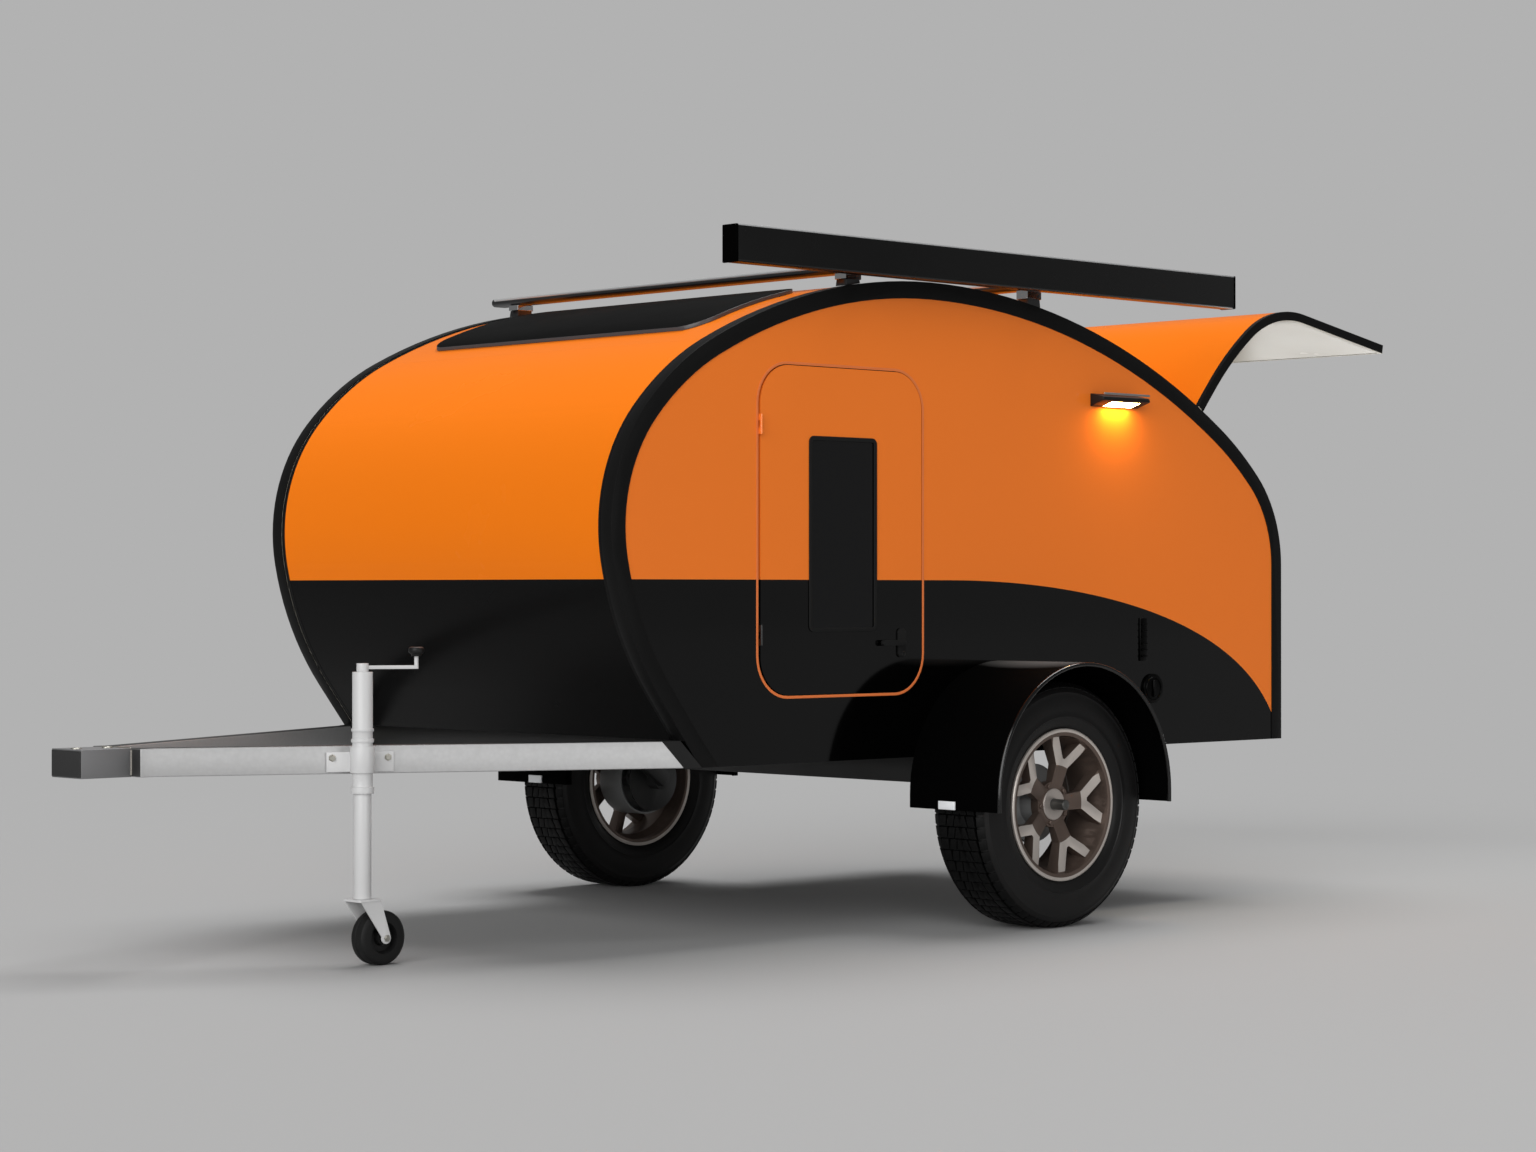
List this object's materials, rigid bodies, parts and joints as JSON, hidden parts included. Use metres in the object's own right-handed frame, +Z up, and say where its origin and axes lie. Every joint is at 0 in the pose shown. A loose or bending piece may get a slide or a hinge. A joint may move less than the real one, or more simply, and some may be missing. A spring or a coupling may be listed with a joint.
{
  "type": "teardrop camping trailer",
  "caption": "Compact teardrop camping trailer: hollow rounded body, side doors, rear galley hatch, roof bars, side awning case, A-frame drawbar and jockey wheel.",
  "frame": {"origin": "on the ground under the middle of the trailer's overall length and width, hatch open and doors shut", "axes": "+X to the left side, +Y to the rear, +Z up; the coupling points along -Y"},
  "size_m": [2.411, 5.0839, 2.131],
  "materials": {
    "galvanised_steel": "satin galvanised",
    "dark_steel": "satin black",
    "body_paint": "gloss two-colour coachwork, orange over black",
    "black_trim": "satin black",
    "black_gloss": "gloss",
    "tinted_glass": "dark tint",
    "plywood": "oiled birch ply",
    "bar_black": "gloss black anodised",
    "lamp_lens": "red lens",
    "white_paint": "gloss white",
    "tyre_rubber": "matt",
    "alloy": "machined face, bronze-grey sides",
    "hub_steel": "satin",
    "black_rubber": "matt",
    "grip_plastic": "matt"
  },
  "bodies": {
    "chassis_and_body": {"drawbar_rail_left": "galvanised_steel", "drawbar_rail_right": "galvanised_steel", "coupling_stub": "galvanised_steel", "chassis_rails": "dark_steel", "cross_members": "dark_steel", "axle": "dark_steel", "side_wall_left": "body_paint", "side_wall_right": "body_paint", "nose_panel": "body_paint", "roof_panel": "body_paint", "floor_panel": "plywood", "rear_panel": "body_paint", "edge_trims": "black_trim", "fender_left": "black_gloss", "fender_right": "black_gloss", "door_hinges": "black_trim", "hatch_hinges": "black_trim", "front_roof_bar": "bar_black", "rear_roof_bar": "bar_black", "awning_case": "black_trim", "skylight": "tinted_glass", "side_lamp": "grip_plastic", "service_caps": "grip_plastic", "galley_bulkhead": "plywood", "galley_bench": "plywood", "tail_lamps": "lamp_lens", "jockey_sleeve": "white_paint", "jockey_crank": "white_paint"},
    "door_left": {"door_left": "body_paint", "door_window_left": "tinted_glass", "door_handle_left": "grip_plastic"},
    "door_right": {"door_right": "body_paint", "door_window_right": "tinted_glass", "door_handle_right": "grip_plastic"},
    "hatch": {"hatch": "body_paint", "hatch_latch": "grip_plastic"},
    "wheel_left": {"tyre_left": "tyre_rubber", "rim_left": "alloy", "hub_left": "hub_steel"},
    "wheel_right": {"tyre_right": "tyre_rubber", "rim_right": "alloy", "hub_right": "hub_steel"},
    "jockey_leg": {"jockey_leg": "white_paint"},
    "jockey_fork": {"jockey_fork": "white_paint"},
    "jockey_wheel": {"jockey_wheel": "black_rubber"}
  },
  "joints": [
    {"name": "wheel_left_spin", "type": "hinge", "parent": "chassis_and_body", "child": "wheel_left", "pos_m": [1, 0.385, 0.3875], "axis": [1, 0, 0], "continuous": true},
    {"name": "wheel_right_spin", "type": "hinge", "parent": "chassis_and_body", "child": "wheel_right", "pos_m": [-1, 0.385, 0.3875], "axis": [1, 0, 0], "continuous": true},
    {"name": "door_left_swing", "type": "hinge", "parent": "chassis_and_body", "child": "door_left", "pos_m": [0.8375, -0.676, 1.245], "axis": [0, 0, -1], "range_deg": [0, 100]},
    {"name": "door_right_swing", "type": "hinge", "parent": "chassis_and_body", "child": "door_right", "pos_m": [-0.8375, -0.676, 1.245], "axis": [0, 0, 1], "range_deg": [0, 100]},
    {"name": "hatch_lift", "type": "hinge", "parent": "chassis_and_body", "child": "hatch", "pos_m": [0, 1.42792, 1.72332], "axis": [1, 0, 0], "range_deg": [-80, 0]},
    {"name": "jockey_raise", "type": "slide", "parent": "chassis_and_body", "child": "jockey_leg", "axis": [0, 0, 1], "range_m": [-0.03, 0.22]},
    {"name": "jockey_swivel", "type": "hinge", "parent": "jockey_leg", "child": "jockey_fork", "pos_m": [0.42357, -1.842, 0.187], "axis": [0, 0, 1], "continuous": true},
    {"name": "jockey_wheel_spin", "type": "hinge", "parent": "jockey_fork", "child": "jockey_wheel", "pos_m": [0.42357, -1.787, 0.078], "axis": [1, 0, 0], "continuous": true}
  ]
}
